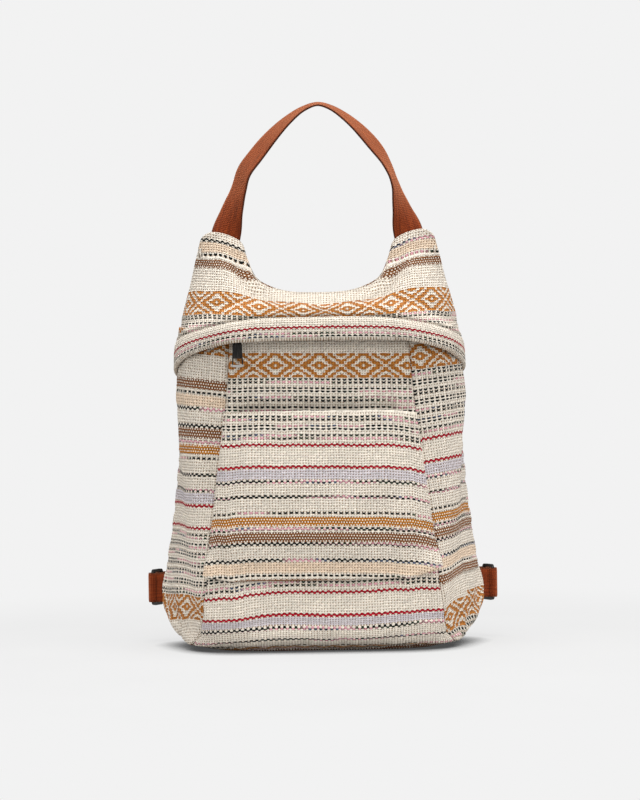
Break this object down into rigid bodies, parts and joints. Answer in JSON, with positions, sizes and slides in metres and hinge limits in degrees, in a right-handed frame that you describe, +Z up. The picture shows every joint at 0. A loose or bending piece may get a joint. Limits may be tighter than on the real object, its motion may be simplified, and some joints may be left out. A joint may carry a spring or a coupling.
{
  "type": "backpack",
  "caption": "Small woven backpack with eared yoke and webbing arch handle, overlap flap over a front zip, slip pocket, back main zip and adjustable webbing shoulder straps.",
  "frame": {"origin": "on the floor under the middle of the base", "axes": "+Z up, front of the bag faces -Y, +X to the right of someone who looks at the front"},
  "size_m": [0.359, 0.1736, 0.5436],
  "materials": {
    "weave": "cream cotton weave with coloured rows",
    "lining": "plain thin cloth",
    "webbing": "ribbed brown webbing",
    "zip_tape": "dark woven tape with moulded teeth",
    "dark_metal": "dark lacquered metal"
  },
  "bodies": {
    "bag": {"base_panel": "weave", "front_panel": "weave", "gusset_right": "weave", "gusset_left": "weave", "back_panel": "weave", "back_facing": "weave", "front_yoke": "weave", "back_yoke": "weave", "front_flap": "weave", "front_pocket": "weave", "lining": "lining", "front_pouch": "lining", "carry_handle": "webbing", "strap_tab_right": "webbing", "strap_tab_left": "webbing", "shoulder_strap_right": "webbing", "shoulder_strap_left": "webbing", "front_zip_tape_upper": "zip_tape", "front_zip_tape_lower": "zip_tape", "front_zip_stop_left": "dark_metal", "front_zip_stop_right": "dark_metal", "back_zip_tape_upper": "zip_tape", "back_zip_tape_lower": "zip_tape", "back_zip_stop_left": "dark_metal", "back_zip_stop_right": "dark_metal"},
    "front_zip_runner": {"front_zip_slider": "dark_metal"},
    "front_zip_tag": {"front_zip_pull": "dark_metal"},
    "back_zip_runner": {"back_zip_slider": "dark_metal"},
    "back_zip_tag": {"back_zip_pull": "dark_metal"},
    "strap_adjuster_right": {"strap_slider_right": "dark_metal"},
    "strap_adjuster_left": {"strap_slider_left": "dark_metal"},
    "tab_ring_right": {"strap_ring_right": "dark_metal"},
    "tab_ring_left": {"strap_ring_left": "dark_metal"}
  },
  "joints": [
    {"name": "front_zip_slide", "type": "slide", "parent": "bag", "child": "front_zip_runner", "axis": [1, 0, 0], "range_m": [0, 0.153]},
    {"name": "front_pull_swing", "type": "hinge", "parent": "front_zip_runner", "child": "front_zip_tag", "pos_m": [-0.08, -0.04763, 0.3161], "axis": [0, -0.9994, 0.0359], "range_deg": [-35, 35]},
    {"name": "back_zip_slide", "type": "slide", "parent": "bag", "child": "back_zip_runner", "axis": [-1, 0, 0], "range_m": [0, 0.149]},
    {"name": "back_pull_swing", "type": "hinge", "parent": "back_zip_runner", "child": "back_zip_tag", "pos_m": [0.078, 0.05284, 0.29253], "axis": [0, 0.986, 0.1667], "range_deg": [-50, 50]},
    {"name": "right_strap_adjust", "type": "slide", "parent": "bag", "child": "strap_adjuster_right", "axis": [0.2343, 0.1054, -0.9664], "range_m": [-0.034, 0.034]},
    {"name": "left_strap_adjust", "type": "slide", "parent": "bag", "child": "strap_adjuster_left", "axis": [-0.2343, 0.1054, -0.9664], "range_m": [-0.034, 0.034]},
    {"name": "right_ring_turn", "type": "hinge", "parent": "bag", "child": "tab_ring_right", "pos_m": [0.17445, 0.06327, 0.056], "axis": [0, 0, 1], "range_deg": [-8, 8]},
    {"name": "left_ring_turn", "type": "hinge", "parent": "bag", "child": "tab_ring_left", "pos_m": [-0.17445, 0.06327, 0.056], "axis": [0, 0, 1], "range_deg": [-8, 8]}
  ]
}
